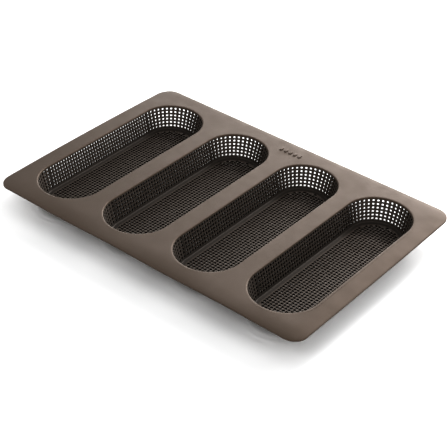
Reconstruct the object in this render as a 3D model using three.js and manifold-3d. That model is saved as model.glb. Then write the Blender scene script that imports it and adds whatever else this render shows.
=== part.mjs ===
// Baguette tray: a one-piece silicone moulding, a flat rim with four round-ended
// cavities hanging from it. The moulding is divided into its regions: the rim sheet,
// and for each cavity its lip, side and end grilles, corner ribs, floor band and floor
// grille. Millimetres, +Z up. X runs along the rim's long side and Y along the
// cavities. The origin is under the tray's middle, on the plane that it rests on.
import * as THREE from "three";
import { mergeVertices } from "three/addons/utils/BufferGeometryUtils.js";
import Module from "manifold-3d";

const wasm = await Module();
wasm.setup();

// Rim sheet.
const RIM_LENGTH = 360;
const RIM_WIDTH = 248;
const RIM_CORNER_RADIUS = 15;
const RIM_THICKNESS = 2;

// Cavities. Each is a stadium in plan: two arcs about centres on its long axis, joined
// by straight sides. A radius below is measured from that axis, at a stated height.
const CAVITY_COUNT = 4;
const CAVITY_PITCH = 86;
const MOUTH_RADIUS = 33.5;
const ARC_CENTRE = 72;
const CAVITY_DEPTH = 24.6;
const DRAFT = THREE.MathUtils.degToRad(14.5);
const WALL_THICKNESS = 1.8;
const FLOOR_THICKNESS = 2;

// Regions of a cavity.
const LIP_WIDTH = 2.5;
const LIP_ROUNDING = 1;
const RIB_WIDTH = 2.2;
const BAND_HEIGHT = 4.4;
const BAND_ROUNDING_IN = 1.6;
const BAND_ROUNDING_OUT = 2.4;
const FLOOR_GRILLE_RADIUS = 22.6;

// Neighbouring regions keep this clearance, so that no two solids share material.
const GAP = 0.2;

// Each arc of a stadium has twice this many facets, and so has a rim corner.
const ARC_DIVISIONS = 12;
const CORNER_DIVISIONS = 4;

const HEIGHT = CAVITY_DEPTH + FLOOR_THICKNESS;
const RIM_UNDERSIDE = HEIGHT - RIM_THICKNESS;
const GRILLE_HALF_LENGTH = ARC_CENTRE - RIB_WIDTH;

// Cutting solids reach PAST beyond what they cut, or FAR where they span the tray.
const PAST = 1;
const FAR = RIM_LENGTH;

const rimMaterial = new THREE.MeshStandardMaterial({
  color: 0x776a61,
  roughness: 0.5,
  metalness: 0,
});
const cavityMaterial = new THREE.MeshStandardMaterial({
  color: 0x5f554d,
  roughness: 0.55,
  metalness: 0,
});

/** Radius of a cavity's inner wall at height z. */
function innerRadius(z) {
  return MOUTH_RADIUS - (HEIGHT - z) * Math.tan(DRAFT);
}

/** Radius of a cavity's outer wall at height z. */
function outerRadius(z) {
  return innerRadius(z) + WALL_THICKNESS / Math.cos(DRAFT);
}

/** Level of the inner wall at height z, for a loft. */
function innerLevel(z) {
  return [z, innerRadius(z)];
}

/** Level of the outer wall at height z, for a loft. */
function outerLevel(z) {
  return [z, outerRadius(z)];
}

/** Middle of cavity number index, counted from the left. */
function cavityCentre(index) {
  return (index - (CAVITY_COUNT - 1) / 2) * CAVITY_PITCH;
}

/** Turns a closed geometry into a solid that can be joined and cut. */
function solidOf(geometry) {
  geometry.deleteAttribute("normal");
  geometry.deleteAttribute("uv");
  const merged = mergeVertices(geometry);
  return new wasm.Manifold(
    new wasm.Mesh({
      numProp: 3,
      vertProperties: merged.attributes.position.array,
      triVerts: new Uint32Array(merged.index.array),
    }),
  );
}

/** Turns a solid back into a geometry with flat facets. */
function geometryOf(solid) {
  const mesh = solid.getMesh();
  const indexed = new THREE.BufferGeometry();
  indexed.setAttribute(
    "position",
    new THREE.BufferAttribute(mesh.vertProperties, mesh.numProp),
  );
  indexed.setIndex(new THREE.BufferAttribute(mesh.triVerts, 1));
  const faceted = indexed.toNonIndexed();
  faceted.computeVertexNormals();
  return faceted;
}

/** Solid whose plan is a stadium at each of its levels, a list of [height, radius]. */
function stadiumLoft(levels) {
  const last = levels.length - 1;
  const unit = new THREE.Shape();
  unit.absarc(0, 1, 1, 0, Math.PI);
  unit.absarc(0, -1, 1, Math.PI, 2 * Math.PI);
  unit.closePath();
  const geometry = new THREE.ExtrudeGeometry(unit, {
    depth: last,
    steps: last,
    bevelEnabled: false,
    curveSegments: ARC_DIVISIONS,
  });
  const position = geometry.getAttribute("position");
  for (let i = 0; i < position.count; i += 1) {
    const [height, radius] = levels[Math.round(position.getZ(i))];
    const side = Math.sign(position.getY(i));
    const x = position.getX(i) * radius;
    const y = side * ARC_CENTRE + (position.getY(i) - side) * radius;
    position.setXYZ(i, x, y, height);
  }
  return solidOf(geometry);
}

/** Box that spans x and y ranges and reaches past the tray above and below. */
function column(lowX, highX, lowY, highY) {
  const geometry = new THREE.BoxGeometry(highX - lowX, highY - lowY, FAR);
  return solidOf(geometry.translate((lowX + highX) / 2, (lowY + highY) / 2, 0));
}

/** Flat sheet with rounded corners and a stadium opening for each cavity. */
function rimSheet() {
  const x = RIM_LENGTH / 2 - RIM_CORNER_RADIUS;
  const y = RIM_WIDTH / 2 - RIM_CORNER_RADIUS;
  const quarter = Math.PI / 2;
  const outline = new THREE.Shape();
  outline.absarc(x, y, RIM_CORNER_RADIUS, 0, quarter);
  outline.absarc(-x, y, RIM_CORNER_RADIUS, quarter, 2 * quarter);
  outline.absarc(-x, -y, RIM_CORNER_RADIUS, 2 * quarter, 3 * quarter);
  outline.absarc(x, -y, RIM_CORNER_RADIUS, 3 * quarter, 4 * quarter);
  outline.closePath();
  const geometry = new THREE.ExtrudeGeometry(outline, {
    depth: RIM_THICKNESS,
    bevelEnabled: false,
    curveSegments: CORNER_DIVISIONS,
  });
  let sheet = solidOf(geometry.translate(0, 0, RIM_UNDERSIDE));
  const opening = stadiumLoft([
    [RIM_UNDERSIDE - PAST, MOUTH_RADIUS + LIP_WIDTH],
    [HEIGHT + PAST, MOUTH_RADIUS + LIP_WIDTH],
  ]);
  for (let index = 0; index < CAVITY_COUNT; index += 1) {
    sheet = sheet.subtract(opening.translate([cavityCentre(index), 0, 0]));
  }
  return sheet;
}

/** Border of the mouth: as thick as the rim, with its inner edge rounded off. */
function lip() {
  const radius = MOUTH_RADIUS + LIP_WIDTH - GAP;
  const roundingFoot = HEIGHT - LIP_ROUNDING;
  const inside = stadiumLoft([
    innerLevel(RIM_UNDERSIDE - PAST),
    innerLevel(roundingFoot),
    [roundingFoot + 2 * LIP_ROUNDING, innerRadius(roundingFoot) + 2 * LIP_ROUNDING],
  ]);
  const blank = stadiumLoft([
    [RIM_UNDERSIDE, radius],
    [HEIGHT, radius],
  ]);
  return blank.subtract(inside);
}

/** Closed ring of cavity wall, before it is divided into grilles and ribs. */
function wallRing() {
  const low = BAND_HEIGHT + GAP;
  const high = RIM_UNDERSIDE - GAP;
  const inside = stadiumLoft([innerLevel(low - PAST), innerLevel(high + PAST)]);
  return stadiumLoft([outerLevel(low), outerLevel(high)]).subtract(inside);
}

/** Plain strip at the foot of the walls, rounded inside and out, with a floor ledge. */
function floorBand() {
  const outerFoot = outerRadius(BAND_ROUNDING_OUT);
  const innerFoot = FLOOR_THICKNESS + BAND_ROUNDING_IN;
  const blank = stadiumLoft([
    [0, outerFoot - BAND_ROUNDING_OUT],
    [BAND_ROUNDING_OUT, outerFoot],
    outerLevel(BAND_HEIGHT),
  ]);
  const inside = stadiumLoft([
    [FLOOR_THICKNESS, innerRadius(innerFoot) - BAND_ROUNDING_IN],
    innerLevel(innerFoot),
    innerLevel(BAND_HEIGHT + PAST),
  ]);
  const opening = stadiumLoft([
    [-PAST, FLOOR_GRILLE_RADIUS],
    [FLOOR_THICKNESS + PAST, FLOOR_GRILLE_RADIUS],
  ]);
  return blank.subtract(inside).subtract(opening);
}

/** Perforated part of the floor, modelled as a plain plate. */
function floorGrille() {
  const radius = FLOOR_GRILLE_RADIUS - GAP;
  return stadiumLoft([
    [0, radius],
    [FLOOR_THICKNESS, radius],
  ]);
}

/** The regions of one cavity about its own middle, as a list of [name, solid]. */
function cavityRegions() {
  const ring = wallRing();
  const ribFoot = GRILLE_HALF_LENGTH + GAP;
  const ribHead = ARC_CENTRE - GAP;
  const regions = [
    ["lip", lip()],
    ["floor_band", floorBand()],
    ["floor_grille", floorGrille()],
    ["back_grille", ring.intersect(column(-FAR, FAR, ARC_CENTRE, FAR))],
    ["front_grille", ring.intersect(column(-FAR, FAR, -FAR, -ARC_CENTRE))],
  ];
  for (const [side, lowX, highX] of [
    ["left", -FAR, 0],
    ["right", 0, FAR],
  ]) {
    const middle = column(lowX, highX, -GRILLE_HALF_LENGTH, GRILLE_HALF_LENGTH);
    const back = column(lowX, highX, ribFoot, ribHead);
    const front = column(lowX, highX, -ribHead, -ribFoot);
    regions.push([`${side}_grille`, ring.intersect(middle)]);
    regions.push([`back_${side}_rib`, ring.intersect(back)]);
    regions.push([`front_${side}_rib`, ring.intersect(front)]);
  }
  return regions;
}

/** Adds a named mesh to the group, moved along X. */
function addMesh(group, name, solid, material, x) {
  const mesh = new THREE.Mesh(geometryOf(solid), material);
  mesh.name = name;
  mesh.position.x = x;
  group.add(mesh);
}

const tray = new THREE.Group();
addMesh(tray, "rim_sheet", rimSheet(), rimMaterial, 0);
const regions = cavityRegions();
for (let index = 0; index < CAVITY_COUNT; index += 1) {
  for (const [region, solid] of regions) {
    const name = `cavity_${index + 1}_${region}`;
    const material = region === "lip" ? rimMaterial : cavityMaterial;
    addMesh(tray, name, solid, material, cavityCentre(index));
  }
}

export default tray;
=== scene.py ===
"""Baguette tray: the perforated silicone moulding, its materials, table, light and camera.

The CAD regions are plain plates, so each is replaced by a mesh with its real holes,
rounded edges and the slight sag of soft silicone. Lengths are in metres.
"""

import math

import bmesh
import bpy
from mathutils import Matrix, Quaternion, Vector
from mathutils.geometry import delaunay_2d_cdt


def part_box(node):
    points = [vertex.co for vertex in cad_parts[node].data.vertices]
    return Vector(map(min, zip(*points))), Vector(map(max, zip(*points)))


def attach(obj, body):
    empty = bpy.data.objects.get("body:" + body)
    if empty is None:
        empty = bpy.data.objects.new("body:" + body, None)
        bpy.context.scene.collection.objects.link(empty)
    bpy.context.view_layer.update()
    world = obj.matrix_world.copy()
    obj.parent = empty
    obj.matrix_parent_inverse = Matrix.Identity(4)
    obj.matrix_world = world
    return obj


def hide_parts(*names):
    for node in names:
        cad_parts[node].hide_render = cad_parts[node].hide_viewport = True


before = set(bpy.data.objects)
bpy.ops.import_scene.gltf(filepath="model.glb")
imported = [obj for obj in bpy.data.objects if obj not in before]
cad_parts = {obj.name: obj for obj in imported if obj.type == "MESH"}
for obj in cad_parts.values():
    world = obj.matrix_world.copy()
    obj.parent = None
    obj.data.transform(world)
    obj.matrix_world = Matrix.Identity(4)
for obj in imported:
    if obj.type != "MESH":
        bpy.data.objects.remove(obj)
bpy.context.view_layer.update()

MM = 0.001

# Heights and sizes taken from the frame.
RIM_LOW, RIM_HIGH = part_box("rim_sheet")
TOP = RIM_HIGH.z
RIM_UNDERSIDE = RIM_LOW.z
RIM_THICKNESS = TOP - RIM_UNDERSIDE
FLOOR_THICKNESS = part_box("cavity_1_floor_grille")[1].z
CAVITIES = (1, 2, 3, 4)

# Cavity shape, as in the CAD: a stadium at every height, with sloping walls.
MOUTH_RADIUS = 33.5 * MM
ARC_CENTRE = 72 * MM
DRAFT = math.radians(14.5)
WALL_THICKNESS = 1.8 * MM
GRILLE_END = 70.2 * MM
LIP_RADIUS = 36 * MM
LIP_ROUNDING = 1.2 * MM
FLOOR_GRILLE_RADIUS = 23.4 * MM
BAND_FILLET_IN = 1.2 * MM
BAND_FILLET_OUT = 3.2 * MM
RIM_CORNER = 15 * MM
RIM_ROUNDING = 0.35 * MM

# The walls' perforated part, as distances down the slope from the mouth.
WALL_HEAD = 1.7 * MM
WALL_FOOT = 23.2 * MM

# Square holes with rounded corners, and the grids they stand in.
WALL_HOLE = 2.1 * MM
FLOOR_HOLE = 2.3 * MM
HOLE_CORNER = 0.5 * MM
HOLE_BEVEL = 0.18 * MM
FIRST_ROW = 3.3 * MM
ROW_PITCH = 3.68 * MM
ROWS = 6
COLUMN_PITCH = 3.605 * MM
COLUMNS = 39
ARC_PITCH = math.radians(7.92)
ARC_COLUMNS = 23
FLOOR_PITCH = 3.465 * MM
FLOOR_COLUMNS = 13
FLOOR_ROWS = 55
FLOOR_REACH = 21.6 * MM

# Sag of the rim's free edges below the mouths. Each edge hangs by its drop, and a bow,
# tilt or wave changes that along the edge.
HALF_LENGTH = RIM_HIGH.x
HALF_WIDTH = RIM_HIGH.y
SAG_START_X = 160 * MM
SAG_START_Y = 104 * MM
LEFT_DROP = 0.3 * MM
LEFT_BOW = 1.6 * MM
RIGHT_DROP = 2.5 * MM
RIGHT_BOW = -0.9 * MM
RIGHT_TILT = -0.9 * MM
FRONT_DROP = 1.4 * MM
FRONT_WAVE = 0.4 * MM
BACK_DROP = 0.25 * MM
BACK_TILT = 0.45 * MM
WAVE_START = 32 * MM
WAVE_LENGTH = 126 * MM

# Generic mark: a row of small raised pills on the back of the rim.
MARK_COUNT = 5
MARK_PITCH = 5.6 * MM
MARK_REACH = 1.3 * MM
MARK_RADIUS = 1.5 * MM
MARK_HEIGHT = 0.75 * MM
MARK_ROUNDING = 0.35 * MM
MARK_Y = 108 * MM

# Fineness of the meshes.
ARC_STEPS = 48
ROUNDING_STEPS = 5
CORNER_STEPS = 12
SHEET_STEP = 4 * MM
SHARP_ANGLE = math.radians(35)

# Points of a mesh that agree when rounded to one part in this, a tenth of a
# micrometre, are one point. Points of a plan closer than MERGE are one as well.
ROUNDING = 1e7
MERGE = 1e-9

# Numbers of a piece's materials: its plain surface, and the insides of its holes.
PLAIN = 0
HOLE = 1

# Silicones: base colour, gloss level, gloss tint and roughness. All four are one silicone: the
# cavity's plain parts are painted darker as painted shade, the grilles a little lighter as
# painted light, and the insides of holes much darker and less glossy as painted shade.
SILICONES = {
    "rim_silicone": ((0.031, 0.0245, 0.0185), 0.82, (1, 0.7, 0.52), 0.55),
    # Floor band and ribs: painted darker than the rim, as painted shade at the foot and ends
    # of the walls.
    "cavity_silicone": ((0.016, 0.0135, 0.0112), 0.58, (1, 0.84, 0.73), 0.55),
    # Grilles: painted a little lighter than the rim, as painted light on the webs.
    "grille_silicone": ((0.033, 0.027, 0.022), 0.95, (1, 0.81, 0.68), 0.55),
    # Insides of holes: the grille's silicone painted much darker, as painted shade in the
    # holes.
    "painted_shade_hole_silicone": ((0.011, 0.009, 0.0075), 0.1, (1, 0.84, 0.73), 0.9),
}
SILICONE_IOR = 1.43

# Unevenness of the silicone. A noise is its scale and detail, and each field gives how
# far the noise moves the surface's colour, roughness or height.
MOTTLE_NOISE = (45, 4)
MOTTLE_STRENGTH = 0.06
GLOSS_NOISE = (70, 3)
GLOSS_SPREAD = 0.04
GRAIN_NOISE = (2500, 2)
GRAIN_STRENGTH = 0.12
GRAIN_DEPTH = 0.2 * MM
NOISE_LOW = 0.3
NOISE_HIGH = 0.7

# Table.
TABLE_SIZE = 12
TABLE_COLOUR = (0.93, 0.93, 0.93)
TABLE_ROUGHNESS = 0.5

# Area lights, which all face the tray: name, place, width, height and power in watts.
# Most light comes from behind the tray, and the others soften the shadow in front.
LIGHTS = (
    ("key", (0, 1.243, 0.84), 0.25, 0.2, 9),
    ("back_wide", (-0.3, 1.37, 0.35), 1.8, 0.6, 32),
    ("back_high", (0, 1.12, 0.95), 2.0, 0.5, 7.5),
    ("left", (-1.229, 0, 0.86), 0.6, 0.6, 3.1),
    ("right", (1.229, 0, 0.86), 0.6, 0.6, 5),
    ("front", (0, -0.964, 1.149), 0.6, 0.6, 4.3),
)
SKY_STRENGTH = 0.75

# Camera: where it stands, how it is turned, and its lens and sensor in millimetres.
CAMERA_PLACE = Vector((0.63359, -0.81377, TOP + 0.69939))
CAMERA_AZIMUTH = math.radians(37.79)
CAMERA_ELEVATION = math.radians(35.293)
CAMERA_ROLL = math.radians(2.335)
CAMERA_LENS = 104.96
CAMERA_SENSOR = 36

# Display gamma below 1 darkens the middle tones, as a studio photograph's contrast does.
CONTRAST = 0.8


# ---------------------------------------------------------------- meshes


class Shell:
    """Collects faces by the places of their corners, and joins corners that meet."""

    def __init__(self):
        self.points = []
        self.index = {}
        self.faces = []
        self.finishes = []

    def vertex(self, point):
        key = tuple(round(c * ROUNDING) for c in point)
        if key not in self.index:
            self.index[key] = len(self.points)
            self.points.append(tuple(point))
        return self.index[key]

    def face(self, corners, finish=PLAIN):
        """Adds a face; finish is the number of its material on the piece."""
        loop = []
        for corner in corners:
            vertex = self.vertex(corner)
            if vertex not in loop:
                loop.append(vertex)
        if len(loop) > 2:
            self.faces.append(loop)
            self.finishes.append(finish)

    def strip(self, lower, upper, finish=PLAIN):
        """Faces between two closed loops with the same number of points."""
        for k in range(len(lower)):
            m = (k + 1) % len(lower)
            self.face((lower[k], lower[m], upper[m], upper[k]), finish)

    def piece(self, name, x=0):
        """Makes the object, moved along X, with smooth shading on all but sharp edges."""
        mesh = bpy.data.meshes.new(name)
        mesh.from_pydata([(p[0] + x, p[1], p[2]) for p in self.points], [], self.faces)
        mesh.polygons.foreach_set("material_index", self.finishes)
        cleaned = bmesh.new()
        cleaned.from_mesh(mesh)
        bmesh.ops.recalc_face_normals(cleaned, faces=cleaned.faces)
        cleaned.to_mesh(mesh)
        cleaned.free()
        mesh.shade_smooth()
        mesh.set_sharp_from_angle(angle=SHARP_ANGLE)
        obj = bpy.data.objects.new(name, mesh)
        bpy.context.scene.collection.objects.link(obj)
        return obj


def triangles(outline, holes, inside):
    """Triangles, as triples of 2D points, that fill a convex outline round convex holes.

    The triangles keep the points they are given, because the triangulation rounds its own.
    """
    points = []
    edges = []
    owner = []
    for number, loop in enumerate([outline] + holes):
        first = len(points)
        count = len(loop)
        points += loop
        owner += [number] * count
        edges += [(first + k, first + (k + 1) % count) for k in range(count)]
    points += inside
    owner += [0] * len(inside)
    flat = [Vector(p) for p in points]
    whole_hull = 0
    _, _, faces, sources, _, _ = delaunay_2d_cdt(flat, edges, [], whole_hull, MERGE)
    result = []
    for face in faces:
        corners = [sources[k][0] for k in face]
        numbers = {owner[k] for k in corners}
        if numbers == {0} or len(numbers) > 1:
            result.append([points[k] for k in corners])
    return result


def sheet(outline, holes, place, inside=()):
    """Closed plate. An outline or hole is a list of rings, each a 2D loop and its depth.

    place(u, v, depth) gives a point in space. inside is further points of the plan.
    """
    shell = Shell()
    top = outline[0][1]
    bottom = outline[-1][1]
    for corners in triangles(outline[0][0], [rings[0][0] for rings in holes], inside):
        shell.face([place(u, v, top) for u, v in corners])
        shell.face([place(u, v, bottom) for u, v in reversed(corners)])
    for number, rings in enumerate([outline] + holes):
        finish = HOLE if number else PLAIN
        loops = [[place(u, v, depth) for u, v in loop] for loop, depth in rings]
        for lower, upper in zip(loops, loops[1:]):
            shell.strip(lower, upper, finish)
    return shell


def flat_unit(_):
    """Length of one unit of u on a flat sheet, where u is a length."""
    return 1


def square_hole(u, v, size, thickness, unit=flat_unit):
    """Rings of one hole. unit(v) is the length of one unit of u at v."""

    def loop(half):
        near = half - HOLE_CORNER
        middle = half - HOLE_CORNER * (1 - math.sqrt(0.5))
        quarter = [(half, near), (middle, middle), (near, half)]
        corners = quarter + [(-a, b) for a, b in reversed(quarter)]
        corners += [(-a, -b) for a, b in quarter]
        corners += [(a, -b) for a, b in reversed(quarter)]
        return [(u + a / unit(v + b), v + b) for a, b in corners]

    wide = loop(size / 2 + HOLE_BEVEL)
    tight = loop(size / 2)
    return [
        (wide, 0),
        (tight, HOLE_BEVEL),
        (tight, thickness - HOLE_BEVEL),
        (wide, thickness),
    ]


def centred(count, pitch):
    """Places of a row of things about zero."""
    return [(k - (count - 1) / 2) * pitch for k in range(count)]


def stadium(radius):
    """Loop of 2D points round a cavity at this radius from its axis."""
    loop = []
    for end in (1, -1):
        for k in range(ARC_STEPS + 1):
            turn = math.pi * k / ARC_STEPS
            loop.append((
                end * radius * math.cos(turn),
                end * (ARC_CENTRE + radius * math.sin(turn)),
            ))
        straight = 2 * ARC_CENTRE
        steps = round(straight / SHEET_STEP)
        loop += [
            (-end * radius, end * (ARC_CENTRE - straight * k / steps))
            for k in range(1, steps)
        ]
    return loop


def ring(profile):
    """Closed ring whose section is a closed profile of (radius, height)."""
    shell = Shell()
    loops = [[(x, y, z) for x, y in stadium(radius)] for radius, z in profile]
    for k, loop in enumerate(loops):
        shell.strip(loop, loops[(k + 1) % len(loops)])
    return shell


def arc(centre, radius, start, end):
    """Points on an arc of a profile, angles in degrees."""
    points = []
    for k in range(ROUNDING_STEPS + 1):
        turn = math.radians(start + (end - start) * k / ROUNDING_STEPS)
        points.append((
            centre[0] + radius * math.cos(turn),
            centre[1] + radius * math.sin(turn),
        ))
    return points


# ---------------------------------------------------------------- the moulding


def wall_point(t, w):
    """Radius and height of a wall point: t down the slope, w out through the wall."""
    radius = MOUTH_RADIUS - t * math.sin(DRAFT) + w * math.cos(DRAFT)
    return radius, TOP - t * math.cos(DRAFT) - w * math.sin(DRAFT)


def wall_rows():
    """Distances down the slope to the rows of wall holes."""
    return [FIRST_ROW + k * ROW_PITCH for k in range(ROWS)]


def corner_reach(radius):
    """Distance from a wall's sharp corner to where a rounding of this radius starts."""
    return radius / math.tan((math.pi / 2 + DRAFT) / 2)


def lip():
    """Border of a mouth, with its inner edge rounded over."""
    tilt = math.degrees(DRAFT)
    centre = (MOUTH_RADIUS + corner_reach(LIP_ROUNDING), TOP - LIP_ROUNDING)
    profile = [(LIP_RADIUS, RIM_UNDERSIDE), (LIP_RADIUS, TOP)]
    profile += arc(centre, LIP_ROUNDING, 90, 180 - tilt)
    profile += [wall_point(WALL_HEAD, 0), wall_point(WALL_HEAD, WALL_THICKNESS)]
    return ring(profile)


def floor_band():
    """Plain strip at the foot of the walls, rounded inside and out, with a floor ledge."""
    tilt = math.degrees(DRAFT)
    foot_in = MOUTH_RADIUS - (TOP - FLOOR_THICKNESS) * math.tan(DRAFT)
    foot_out = MOUTH_RADIUS - TOP * math.tan(DRAFT) + WALL_THICKNESS / math.cos(DRAFT)
    centre_in = (foot_in - corner_reach(BAND_FILLET_IN), FLOOR_THICKNESS + BAND_FILLET_IN)
    centre_out = (foot_out - corner_reach(BAND_FILLET_OUT), BAND_FILLET_OUT)
    profile = [wall_point(WALL_FOOT, 0)]
    profile += arc(centre_in, BAND_FILLET_IN, -tilt, -90)
    profile += [(FLOOR_GRILLE_RADIUS, FLOOR_THICKNESS), (FLOOR_GRILLE_RADIUS, 0)]
    profile += arc(centre_out, BAND_FILLET_OUT, -90, -tilt)
    profile += [wall_point(WALL_FOOT, WALL_THICKNESS)]
    return ring(profile)


def rectangle(low_u, high_u, low_v, high_v, steps):
    """Loop round a rectangle, its sides along u divided into steps."""
    width = high_u - low_u
    lower = [(low_u + width * k / steps, low_v) for k in range(steps + 1)]
    return lower + [(u, high_v) for u, _ in reversed(lower)]


def wall_panel(low_u, high_u, steps, place, columns=(), unit=flat_unit):
    """Part of a cavity's wall, with a column of holes at each u in columns."""
    loop = rectangle(low_u, high_u, WALL_HEAD, WALL_FOOT, steps)
    holes = [
        square_hole(u, v, WALL_HOLE, WALL_THICKNESS, unit)
        for u in columns
        for v in wall_rows()
    ]
    return sheet([(loop, 0), (loop, WALL_THICKNESS)], holes, place)


def straight_place(side):
    """Maps u along the cavity and v down its wall. side is -1 left or 1 right."""

    def place(u, v, w):
        radius, z = wall_point(v, w)
        return side * radius, u, z

    return place


def straight_grille(side):
    """Perforated straight wall."""
    columns = centred(COLUMNS, COLUMN_PITCH)
    return wall_panel(-GRILLE_END, GRILLE_END, COLUMNS, straight_place(side), columns)


def rib(side, end):
    """Plain strip of wall between a straight grille and an end grille."""
    low, high = sorted((end * GRILLE_END, end * ARC_CENTRE))
    return wall_panel(low, high, 1, straight_place(side))


def end_grille(end):
    """Perforated half-round wall. u is an angle; end is -1 front or 1 back."""

    def place(u, v, w):
        radius, z = wall_point(v, w)
        return radius * math.sin(u), end * (ARC_CENTRE + radius * math.cos(u)), z

    def radius_at(v):
        return wall_point(v, 0)[0]

    columns = centred(ARC_COLUMNS, ARC_PITCH)
    quarter = math.pi / 2
    return wall_panel(-quarter, quarter, 2 * ARC_COLUMNS, place, columns, radius_at)


def floor_grille():
    """Perforated floor. A hole is kept if its middle is near enough to the axis."""
    holes = []
    for x in centred(FLOOR_COLUMNS, FLOOR_PITCH):
        for y in centred(FLOOR_ROWS, FLOOR_PITCH):
            past = max(abs(y) - ARC_CENTRE, 0)
            if math.hypot(x, past) <= FLOOR_REACH:
                holes.append(square_hole(x, y, FLOOR_HOLE, FLOOR_THICKNESS))
    loop = stadium(FLOOR_GRILLE_RADIUS)

    def place(u, v, w):
        return u, v, FLOOR_THICKNESS - w

    return sheet([(loop, 0), (loop, FLOOR_THICKNESS)], holes, place)


def rounded_rectangle(half_x, half_y, radius):
    """Loop round a rectangle with rounded corners, its sides divided finely."""
    x, y = half_x - radius, half_y - radius
    quarter = math.pi / 2
    loop = []
    for number, (sx, sy) in enumerate(((1, 1), (-1, 1), (-1, -1), (1, -1))):
        for k in range(CORNER_STEPS + 1):
            turn = number * quarter + quarter * k / CORNER_STEPS
            loop.append((sx * x + radius * math.cos(turn), sy * y + radius * math.sin(turn)))
    divided = []
    for k, (ax, ay) in enumerate(loop):
        bx, by = loop[(k + 1) % len(loop)]
        steps = max(1, round(max(abs(bx - ax), abs(by - ay)) / SHEET_STEP))
        divided += [
            (ax + (bx - ax) * s / steps, ay + (by - ay) * s / steps)
            for s in range(steps)
        ]
    return divided


def sag(x, y):
    """How far the soft rim hangs below its cavities' mouths."""
    past_x = max(abs(x) - SAG_START_X, 0) / (HALF_LENGTH - SAG_START_X)
    past_y = max(abs(y) - SAG_START_Y, 0) / (HALF_WIDTH - SAG_START_Y)
    bow = (y / HALF_WIDTH) ** 2
    wave = math.cos(2 * math.pi * (x - WAVE_START) / WAVE_LENGTH)
    left = LEFT_DROP + LEFT_BOW * bow
    right = RIGHT_DROP + RIGHT_BOW * bow + RIGHT_TILT * y / HALF_WIDTH
    front = FRONT_DROP + FRONT_WAVE * wave
    back = BACK_DROP + BACK_TILT * x / HALF_LENGTH
    drop_x = left if x < 0 else right
    drop_y = front if y < 0 else back
    return drop_x * past_x ** 2 + drop_y * past_y ** 2


def rim_sheet(centres):
    """Flat rim with an opening for each lip, a rounded outer edge and its sag."""
    rings = []
    for k in range(ROUNDING_STEPS + 1):
        turn = math.pi / 2 * k / ROUNDING_STEPS
        inset = RIM_ROUNDING * (1 - math.sin(turn))
        depth = RIM_ROUNDING * (1 - math.cos(turn))
        rings.append((inset, depth))
    rings += [(inset, RIM_THICKNESS - depth) for inset, depth in reversed(rings)]
    outline = [
        (rounded_rectangle(HALF_LENGTH - inset, HALF_WIDTH - inset, RIM_CORNER - inset), depth)
        for inset, depth in rings
    ]
    openings = []
    for centre in centres:
        loop = [(x + centre, y) for x, y in stadium(LIP_RADIUS)]
        openings.append([(loop, 0), (loop, RIM_THICKNESS)])
    inside = []
    margin = SHEET_STEP / 2
    for x in centred(round(2 * HALF_LENGTH / SHEET_STEP), SHEET_STEP):
        for y in centred(round(2 * HALF_WIDTH / SHEET_STEP), SHEET_STEP):
            in_corner = math.hypot(
                max(abs(x) - HALF_LENGTH + RIM_CORNER, 0),
                max(abs(y) - HALF_WIDTH + RIM_CORNER, 0),
            )
            if in_corner > RIM_CORNER - margin:
                continue
            if all(stadium_distance(x - c, y) > LIP_RADIUS + margin for c in centres):
                inside.append((x, y))

    def place(u, v, w):
        return u, v, TOP - w - sag(u, v)

    return sheet(outline, openings, place, inside)


def stadium_distance(x, y):
    """Distance in plan from a cavity's axis."""
    return math.hypot(x, max(abs(y) - ARC_CENTRE, 0))


def mark():
    """Row of raised pills, sunk a little into the rim."""
    shell = Shell()
    centre = (MARK_RADIUS - MARK_ROUNDING, MARK_HEIGHT - MARK_ROUNDING)
    profile = [(MARK_RADIUS, -MARK_HEIGHT)] + arc(centre, MARK_ROUNDING, 0, 90)
    for x in centred(MARK_COUNT, MARK_PITCH):
        loops = []
        for radius, height in profile:
            loop = []
            for side in (1, -1):
                for k in range(CORNER_STEPS + 1):
                    turn = math.pi * (k / CORNER_STEPS - 0.5)
                    px = x - side * radius * math.sin(turn)
                    py = MARK_Y + side * (MARK_REACH + radius * math.cos(turn))
                    loop.append((px, py, TOP - sag(px, py) + height))
            loops.append(loop)
        for lower, upper in zip(loops, loops[1:]):
            shell.strip(lower, upper)
        shell.face(loops[0])
        shell.face(loops[-1])
    return shell


# ---------------------------------------------------------------- materials


def noise(tree, coordinates, scale_and_detail):
    """Noise over the object, and its output."""
    scale, detail = scale_and_detail
    node = tree.nodes.new("ShaderNodeTexNoise")
    node.inputs["Scale"].default_value = scale
    node.inputs["Detail"].default_value = detail
    tree.links.new(coordinates, node.inputs["Vector"])
    return node.outputs["Fac"]


def spread(tree, value, low, high):
    """Stretches a noise's usual range over low to high."""
    node = tree.nodes.new("ShaderNodeMapRange")
    node.inputs["From Min"].default_value = NOISE_LOW
    node.inputs["From Max"].default_value = NOISE_HIGH
    node.inputs["To Min"].default_value = low
    node.inputs["To Max"].default_value = high
    tree.links.new(value, node.inputs["Value"])
    return node.outputs["Result"]


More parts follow.
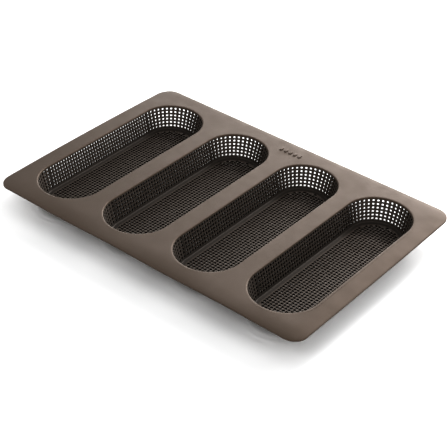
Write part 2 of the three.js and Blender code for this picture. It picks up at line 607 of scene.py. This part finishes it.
def silicone(name):
    """Satin silicone: faint mottling, a fine moulded grain and uneven gloss."""
    colour, gloss_level, gloss_tint, roughness = SILICONES[name]
    material = bpy.data.materials.new(name)
    material.use_nodes = True
    tree = material.node_tree
    shader = tree.nodes["Principled BSDF"]
    shader.inputs["IOR"].default_value = SILICONE_IOR
    shader.inputs["Specular IOR Level"].default_value = gloss_level
    shader.inputs["Specular Tint"].default_value = (*gloss_tint, 1)
    coordinates = tree.nodes.new("ShaderNodeTexCoord").outputs["Object"]

    mottle = tree.nodes.new("ShaderNodeMix")
    mottle.data_type = "RGBA"
    mottle.inputs["A"].default_value = (*[c * (1 - MOTTLE_STRENGTH) for c in colour], 1)
    mottle.inputs["B"].default_value = (*[c * (1 + MOTTLE_STRENGTH) for c in colour], 1)
    patches = spread(tree, noise(tree, coordinates, MOTTLE_NOISE), 0, 1)
    tree.links.new(patches, mottle.inputs["Factor"])
    tree.links.new(mottle.outputs["Result"], shader.inputs["Base Color"])

    low = roughness - GLOSS_SPREAD
    high = roughness + GLOSS_SPREAD
    uneven = spread(tree, noise(tree, coordinates, GLOSS_NOISE), low, high)
    tree.links.new(uneven, shader.inputs["Roughness"])

    grain = tree.nodes.new("ShaderNodeBump")
    grain.inputs["Strength"].default_value = GRAIN_STRENGTH
    grain.inputs["Distance"].default_value = GRAIN_DEPTH
    tree.links.new(noise(tree, coordinates, GRAIN_NOISE), grain.inputs["Height"])
    tree.links.new(grain.outputs["Normal"], shader.inputs["Normal"])
    return material


def table_material():
    """Satin, near-white table."""
    material = bpy.data.materials.new("table")
    material.use_nodes = True
    shader = material.node_tree.nodes["Principled BSDF"]
    shader.inputs["Base Color"].default_value = (*TABLE_COLOUR, 1)
    shader.inputs["Roughness"].default_value = TABLE_ROUGHNESS
    return material


# ---------------------------------------------------------------- assembly

MATERIALS = {name: silicone(name) for name in SILICONES}


def add(shell, node, slot, x=0):
    """Puts a mesh in the place of a CAD node. Only grilles have holes."""
    piece = shell.piece("moulded_" + node, x)
    piece.data.materials.append(MATERIALS[slot])
    if slot == "grille_silicone":
        # The insides of the holes take the much darker silicone: painted shade.
        piece.data.materials.append(MATERIALS["painted_shade_hole_silicone"])
    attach(piece, "root")
    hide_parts(node)


def add_mark():
    """Adds the generic mark, which has no CAD node."""
    piece = mark().piece("generic_mark")
    piece.data.materials.append(MATERIALS["rim_silicone"])
    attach(piece, "root")


def cavity_shells():
    """Region name, slot and mesh of each region of a cavity."""
    shells = [
        ("lip", "rim_silicone", lip()),
        # The floor band and the ribs take the darker cavity silicone: painted shade.
        ("floor_band", "cavity_silicone", floor_band()),
        ("floor_grille", "grille_silicone", floor_grille()),
    ]
    for end_name, end in (("front", -1), ("back", 1)):
        shells.append((end_name + "_grille", "grille_silicone", end_grille(end)))
        for side_name, side in (("left", -1), ("right", 1)):
            shells.append((f"{end_name}_{side_name}_rib", "cavity_silicone", rib(side, end)))
    for side_name, side in (("left", -1), ("right", 1)):
        shells.append((side_name + "_grille", "grille_silicone", straight_grille(side)))
    return shells


def cavity_centre(number):
    """Place of a cavity's axis along X."""
    low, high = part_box(f"cavity_{number}_floor_grille")
    return (low.x + high.x) / 2


CENTRES = [cavity_centre(number) for number in CAVITIES]
add(rim_sheet(CENTRES), "rim_sheet", "rim_silicone")
add_mark()
SHELLS = cavity_shells()
for number, centre in zip(CAVITIES, CENTRES):
    for region, slot, shell in SHELLS:
        add(shell, f"cavity_{number}_{region}", slot, centre)


# ---------------------------------------------------------------- table, light, camera


def add_table():
    """Plain table under the tray."""
    bpy.ops.mesh.primitive_plane_add(size=TABLE_SIZE, location=(0, 0, 0))
    table = bpy.context.object
    table.name = "table"
    table.data.materials.append(table_material())


def add_light(name, place, width, height, power):
    """Rectangular area light that faces the tray."""
    data = bpy.data.lights.new(name, "AREA")
    data.shape = "RECTANGLE"
    data.size = width
    data.size_y = height
    data.energy = power
    light = bpy.data.objects.new(name, data)
    light.location = place
    light.rotation_mode = "QUATERNION"
    light.rotation_quaternion = (-Vector(place)).to_track_quat("-Z", "Y")
    bpy.context.scene.collection.objects.link(light)


def add_sky():
    """Even white light from all round."""
    world = bpy.data.worlds.new("studio")
    world.use_nodes = True
    background = world.node_tree.nodes["Background"]
    background.inputs["Color"].default_value = (1, 1, 1, 1)
    background.inputs["Strength"].default_value = SKY_STRENGTH
    bpy.context.scene.world = world


def add_camera():
    """Camera at its azimuth, elevation and roll."""
    data = bpy.data.cameras.new("camera")
    data.lens = CAMERA_LENS
    data.sensor_width = CAMERA_SENSOR
    camera = bpy.data.objects.new("camera", data)
    flat = math.cos(CAMERA_ELEVATION)
    forward = Vector((
        -flat * math.sin(CAMERA_AZIMUTH),
        flat * math.cos(CAMERA_AZIMUTH),
        -math.sin(CAMERA_ELEVATION),
    ))
    roll = Quaternion((0, 0, 1), CAMERA_ROLL)
    camera.location = CAMERA_PLACE
    camera.rotation_mode = "QUATERNION"
    camera.rotation_quaternion = forward.to_track_quat("-Z", "Y") @ roll
    bpy.context.scene.collection.objects.link(camera)
    bpy.context.scene.camera = camera


add_table()
for light in LIGHTS:
    add_light(*light)
add_sky()
add_camera()
bpy.context.scene.view_settings.view_transform = "Standard"
bpy.context.scene.view_settings.gamma = CONTRAST
